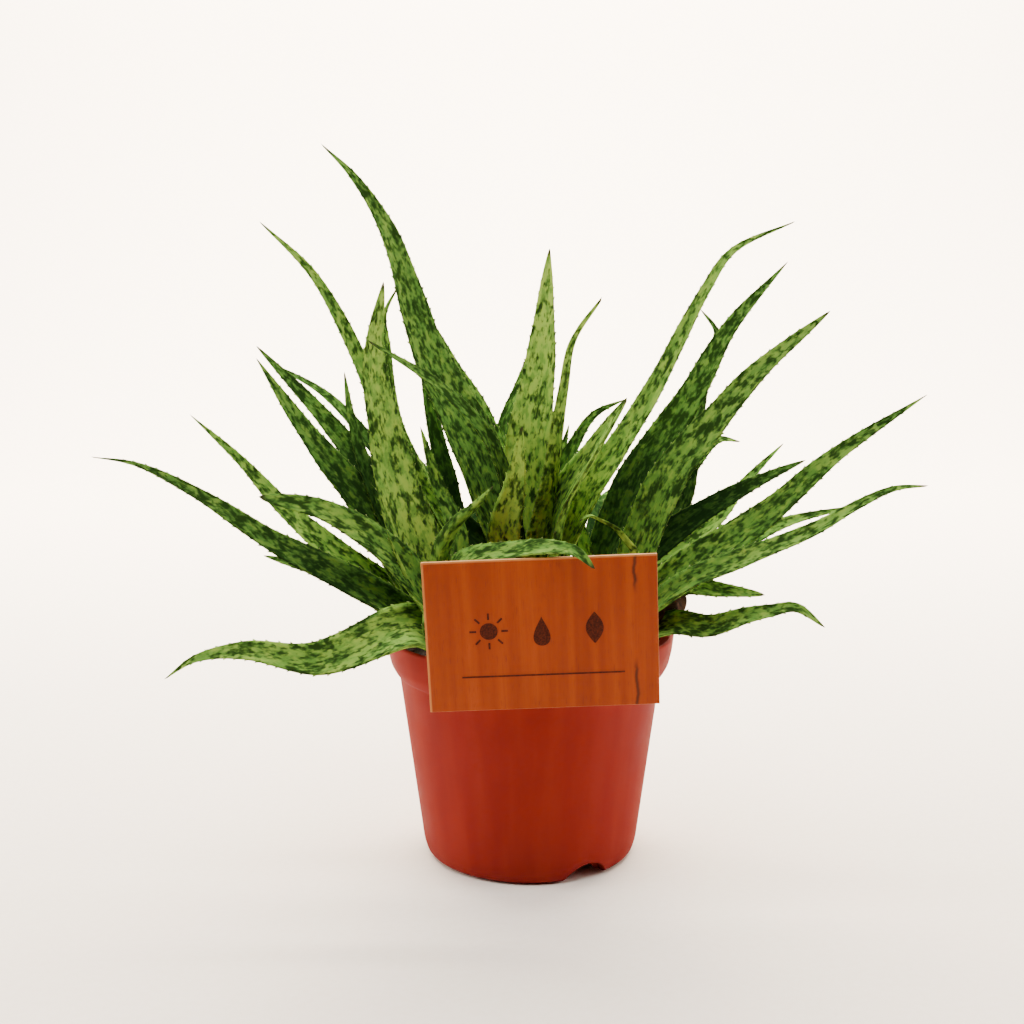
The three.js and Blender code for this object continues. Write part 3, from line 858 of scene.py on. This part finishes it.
def rounded(profile, rounding):
    """Puts a short curve in place of each corner, which is cut back less where a side is short."""
    points = [profile[0]]
    for before, corner, after in zip(profile, profile[1:], profile[2:]):
        before, corner, after = (np.array(p, float) for p in (before, corner, after))
        one = np.linalg.norm(before - corner)
        other = np.linalg.norm(after - corner)
        back = min(rounding, MOST_OF_A_SIDE * one, MOST_OF_A_SIDE * other)
        start = corner + (before - corner) / one * back
        end = corner + (after - corner) / other * back
        for u in (0, 0.33, 0.67, 1):
            points.append(tuple((1 - u) ** 2 * start + 2 * u * (1 - u) * corner + u * u * end))
    return [*points, profile[-1]]


def add_pot():
    collar = [
        (lerp(NECK_RADIUS, RIM_RADIUS, share), NECK_HEIGHT + rise)
        for share, rise in COLLAR_CURVE
    ]
    inside = [(radius - WALL, height + 0.4) for radius, height in reversed(collar)]
    outline = [
        (0, 0),
        (PAD_RADIUS, 0),
        (PAD_RADIUS + 4, FOOT_HEIGHT),
        (FOOT_RADIUS - 4, FOOT_HEIGHT),
        (FOOT_RADIUS - 3, 0),
        (FOOT_RADIUS, 0),
        (FOOT_RADIUS + 2.6, 1.6),
        (BASE_RADIUS, FOOT_HEIGHT),
        (NECK_RADIUS, NECK_HEIGHT),
        *collar,
        (RIM_RADIUS, POT_HEIGHT - 0.9),
        (RIM_RADIUS - 0.4, POT_HEIGHT),
        (RIM_RADIUS - 1.4, POT_HEIGHT),
        *inside,
        (NECK_RADIUS - WALL, NECK_HEIGHT),
        (inner_radius(FOOT_HEIGHT + 3), FOOT_HEIGHT + 3),
        (inner_radius(FOOT_HEIGHT) - 2, FOOT_HEIGHT + WALL),
        (PAD_RADIUS + 3.4, FOOT_HEIGHT + WALL),
        (PAD_RADIUS - 0.6, WALL),
        (0, WALL),
    ]
    vertices, faces = revolve(rounded(outline, POT_ROUNDING), POT_SEGMENTS)
    pot = add_piece("fine_pot", vertices, faces, [pot_material()])
    face_out(pot)
    arch_radius = (NOTCH_WIDTH**2 / 4 + NOTCH_RISE**2) / (2 * NOTCH_RISE)
    upright = Matrix.Identity(4)
    lying = Matrix.Rotation(math.pi / 2, 4, "Y")
    for k in range(NOTCHES):
        heading = Matrix.Rotation(math.radians(NOTCH_HEADING + 360 * k / NOTCHES), 4, "Z")
        for radius, depth, turn, place in (
            (arch_radius, NOTCH_DEPTH, lying, (FOOT_RADIUS + 6, 0, NOTCH_RISE - arch_radius)),
            (DRAIN_RADIUS, DRAIN_DEPTH, upright, (DRAIN_CIRCLE, 0, FOOT_HEIGHT)),
        ):
            drum = [(0, -depth / 2), (radius, -depth / 2), (radius, depth / 2), (0, depth / 2)]
            cutter = add_piece("cutter", *revolve(drum, CUTTER_SEGMENTS), [])
            face_out(cutter)
            cutter.matrix_world = heading @ Matrix.Translation(Vector(place) * MM) @ turn
            bpy.context.view_layer.update()
            cut(pot, cutter)
    shade_by_angle(pot, CRISP_POT_EDGE)
    place_piece(pot, "pot", "pot")


def add_soil():
    """The pot's filling with a heaped, uneven top and a scatter of crumbs pressed into it."""
    floor = FOOT_HEIGHT + WALL + GAP
    edge = inner_radius(NECK_HEIGHT) - GAP
    top = [(edge * share, SOIL_EDGE) for share in np.linspace(1, 0.03, SOIL_RINGS)]
    profile = [
        (0, WALL + GAP),
        (PAD_RADIUS - 1, WALL + GAP),
        (PAD_RADIUS + 3, floor),
        (inner_radius(FOOT_HEIGHT) - 2.6, floor),
        (inner_radius(FOOT_HEIGHT + 3) - GAP - 0.2, FOOT_HEIGHT + 3),
        (edge - 0.1, NECK_HEIGHT - 1),
        *top,
        (0, SOIL_EDGE),
    ]
    vertices, faces = revolve(profile, SOIL_SEGMENTS)
    heaped = []
    for x, y, z in vertices:
        if z > NECK_HEIGHT:
            z = soil_height(x, y) + SOIL_GRAIN * math.sin(x * 2.1 + y) * math.sin(y * 2.4 - x * 0.7)
        heaped.append((x, y, z))
    rng = random.Random(CRUMB_SEED)
    for _ in range(CRUMBS):
        angle = rng.uniform(0, 2 * math.pi)
        radius = (edge - CRUMB_MARGIN) * math.sqrt(rng.random())
        x, y = radius * math.cos(angle), radius * math.sin(angle)
        size = rng.choice(CRUMB_SIZES)
        add_crumb(heaped, faces, (x, y, soil_height(x, y) + CRUMB_LIFT * size), size, rng)
    soil = add_piece("fine_soil", heaped, faces, [soil_material()])
    face_out(soil)
    place_piece(soil, "soil", "soil")


def add_crumb(vertices, faces, centre, size, rng):
    """A squashed lump of six points."""
    start = len(vertices)
    for axis in range(3):
        for sign in (1, -1):
            point = list(centre)
            squash = CRUMB_FLATNESS if axis == 2 else 1
            point[axis] += sign * size * rng.uniform(*CRUMB_SPREAD) * squash
            vertices.append(tuple(point))
    for x in (0, 1):
        for y in (2, 3):
            for z in (4, 5):
                corner = (start + x, start + y, start + z)
                faces.append(corner if (x + y + z) % 2 == 0 else corner[::-1])


def add_stems():
    skin = stem_material()
    for rosette, (x, y) in STEMS.items():
        ground = soil_height(x, y)
        outline = [
            (0, -STEM_ROOT),
            (STEM_RADIUS * 0.5, -STEM_ROOT),
            (STEM_RADIUS, -4),
            (STEM_RADIUS * 1.02, 0),
            (STEM_RADIUS * 0.96, 2.5),
            (STEM_RADIUS, 6),
            (STEM_RADIUS * 0.72, STEM_RISE * 0.7),
            (STEM_RADIUS * 0.35, STEM_RISE),
            (0, STEM_RISE),
        ]
        vertices, faces = revolve(rounded(outline, STEM_ROUNDING), STEM_SEGMENTS)
        moved = [(px + x, py + y, pz + ground) for px, py, pz in vertices]
        stem = add_piece(f"fine_{rosette}_stem", moved, faces, [skin])
        face_out(stem)
        place_piece(stem, "stem", f"{rosette}_stem")


# Label
LABEL_FRAME = Matrix.Translation(
    Vector((0, -RIM_RADIUS - GAP - LABEL_THICKNESS / 2, POT_HEIGHT - LABEL_DROP))
) @ Matrix.Rotation(math.radians(LABEL_LEAN), 4, "X")
PLATE_FRAME = (
    LABEL_FRAME
    @ Matrix.Translation(Vector((LABEL_CENTRE[0], 0, LABEL_CENTRE[1])))
    @ Matrix.Rotation(math.radians(-LABEL_TURN), 4, "Y")
)


def add_board():
    """A thin board with rounded arrises: printed wood on its faces and pale wood on its cut edges."""
    work = bmesh.new()
    bmesh.ops.create_cube(work, size=1)
    bmesh.ops.scale(work, vec=(LABEL_WIDTH, LABEL_THICKNESS, LABEL_HEIGHT), verts=work.verts)
    bmesh.ops.bevel(work, geom=work.edges[:], offset=BOARD_ROUNDING, segments=3, affect="EDGES", profile=0.6)
    vertices = [v.co.copy() for v in work.verts]
    faces = [tuple(v.index for v in face.verts) for face in work.faces]
    picks = [0 if abs(face.normal.y) > 0.9 else 1 for face in work.faces]
    work.free()
    places = [tuple(PLATE_FRAME @ v) for v in vertices]
    board = add_piece("fine_label", places, faces, [label_material(), cut_edge_material()], picks=picks)
    add_attribute(board, "grain", [(v.x, v.z, 3.0 + 0.2 * v.y) for v in vertices])
    shade_by_angle(board, CRISP_BOARD_EDGE)
    place_piece(board, "label", "label")


def add_marks():
    """Burnt care signs and a rule on the label's face: a sun, a drop and a leaf."""
    vertices, faces = [], []
    front = -LABEL_THICKNESS / 2 - MARK_RISE
    back = -LABEL_THICKNESS / 2 + MARK_SINK

    def raise_outline(outline):
        start = len(vertices)
        count = len(outline)
        for depth in (front, back):
            vertices.extend(tuple(PLATE_FRAME @ Vector((x, depth, z))) for x, z in outline)
        faces.append(tuple(range(start, start + count)))
        faces.append(tuple(range(start + 2 * count - 1, start + count - 1, -1)))
        for j in range(count):
            k = (j + 1) % count
            faces.append((start + k, start + j, start + count + j, start + count + k))

    def disc(x, z, radius):
        angles = [2 * math.pi * k / DISC_POINTS for k in range(DISC_POINTS)]
        raise_outline([(x + radius * math.cos(a), z + radius * math.sin(a)) for a in angles])

    def bar(x, z, length, width, angle):
        cos, sin = math.cos(angle), math.sin(angle)
        corners = [(a * length / 2, b * width / 2) for a, b in ((-1, -1), (1, -1), (1, 1), (-1, 1))]
        raise_outline([(x + cos * a - sin * b, z + sin * a + cos * b) for a, b in corners])

    disc(-SIGN_PITCH, SIGN_ROW, SUN_RADIUS)
    for k in range(SUN_RAYS):
        angle = 2 * math.pi * k / SUN_RAYS
        x = -SIGN_PITCH + RAY_CIRCLE * math.cos(angle)
        bar(x, SIGN_ROW + RAY_CIRCLE * math.sin(angle), *RAY_SIZE, angle)
    drop = []
    for k in range(DROP_POINTS):
        angle = 2 * math.pi * k / DROP_POINTS
        pinch = math.sin(angle / 2) ** 1.5
        height = SIGN_ROW + DROP_HEIGHT * math.cos(angle) - DROP_SINK
        drop.append((DROP_WIDTH * math.sin(angle) * pinch, height))
    raise_outline(drop)
    blade = []
    for k in range(2 * LEAF_SIGN_POINTS):
        side = 1 if k < LEAF_SIGN_POINTS else -1
        share = (k % LEAF_SIGN_POINTS) / LEAF_SIGN_POINTS
        lift = share if side > 0 else 1 - share
        x = SIGN_PITCH + side * LEAF_SIGN_WIDTH * math.sin(math.pi * lift)
        blade.append((x, SIGN_ROW - LEAF_SIGN_HEIGHT / 2 + LEAF_SIGN_HEIGHT * lift))
    raise_outline(blade)
    bar(0, RULE_HEIGHT, *RULE_SIZE, 0)
    marks = add_piece("label_marks", vertices, faces, [burnt_material()], smooth=False)
    face_out(marks)
    place_piece(marks, "label")


def dress_stake():
    """The stake's own solid stays, with a wood finish along its length."""
    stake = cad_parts["label_stake"]
    stake.data.materials.clear()
    stake.data.materials.append(stake_material())


# Stage, lamps and camera
def add_stage():
    """A pale sweep: a floor that curves up into a backdrop."""
    rows = [(SWEEP_FRONT, 0), (SWEEP_BACK, 0)]
    for angle in np.linspace(0.1, math.pi / 2, SWEEP_STEPS):
        y = SWEEP_BACK + SWEEP_CURVE * math.sin(angle)
        rows.append((y, SWEEP_CURVE - SWEEP_CURVE * math.cos(angle)))
    rows.append((SWEEP_BACK + SWEEP_CURVE, SWEEP_TOP))
    vertices = [(x, y, z) for y, z in rows for x in (-SWEEP_SIDE, SWEEP_SIDE)]
    faces = [(2 * k, 2 * k + 1, 2 * k + 3, 2 * k + 2) for k in range(len(rows) - 1)]
    sweep = add_piece("studio_sweep", vertices, faces, [stage_material()])


def add_lamps():
    for name, (place, target, size, power, colour) in LAMPS.items():
        lamp = bpy.data.lights.new(name, "AREA")
        lamp.shape = "RECTANGLE"
        lamp.size, lamp.size_y = size
        lamp.energy = power
        lamp.color = colour
        light = bpy.data.objects.new(name, lamp)
        light.location = place
        light.rotation_euler = (Vector(target) - Vector(place)).to_track_quat("-Z", "Y").to_euler()
        bpy.context.scene.collection.objects.link(light)


def add_surround():
    """Next to no light from all around, but a pale surround where a view looks past the sweep."""
    world = bpy.data.worlds.new("studio")
    world.use_nodes = True
    nodes, links = world.node_tree.nodes, world.node_tree.links
    fill = nodes["Background"]
    fill.inputs["Color"].default_value = FILL_COLOUR
    fill.inputs["Strength"].default_value = FILL_STRENGTH
    seen = nodes.new("ShaderNodeBackground")
    seen.inputs["Color"].default_value = SURROUND_COLOUR
    seen.inputs["Strength"].default_value = SURROUND_STRENGTH
    ray = nodes.new("ShaderNodeLightPath")
    choice = nodes.new("ShaderNodeMixShader")
    links.new(ray.outputs["Is Camera Ray"], choice.inputs[0])
    links.new(fill.outputs[0], choice.inputs[1])
    links.new(seen.outputs[0], choice.inputs[2])
    links.new(choice.outputs[0], nodes["World Output"].inputs["Surface"])
    bpy.context.scene.world = world


def add_camera():
    camera = bpy.data.cameras.new("camera")
    camera.sensor_width = SENSOR_WIDTH
    camera.lens = FOCAL_PIXELS / FRAME_PIXELS * camera.sensor_width
    camera.shift_x = VIEW_OFFSET[0] / FRAME_PIXELS
    camera.shift_y = -VIEW_OFFSET[1] / FRAME_PIXELS
    eye = bpy.data.objects.new("camera", camera)
    eye.location = Vector(CAMERA_PLACE) * MM
    eye.rotation_euler = (math.radians(90 - CAMERA_PITCH), 0, 0)
    bpy.context.scene.collection.objects.link(eye)
    bpy.context.scene.camera = eye


add_camera()
add_lamps()
add_surround()
add_stage()
add_pot()
add_soil()
add_stems()
add_rosettes()
add_board()
add_marks()
dress_stake()
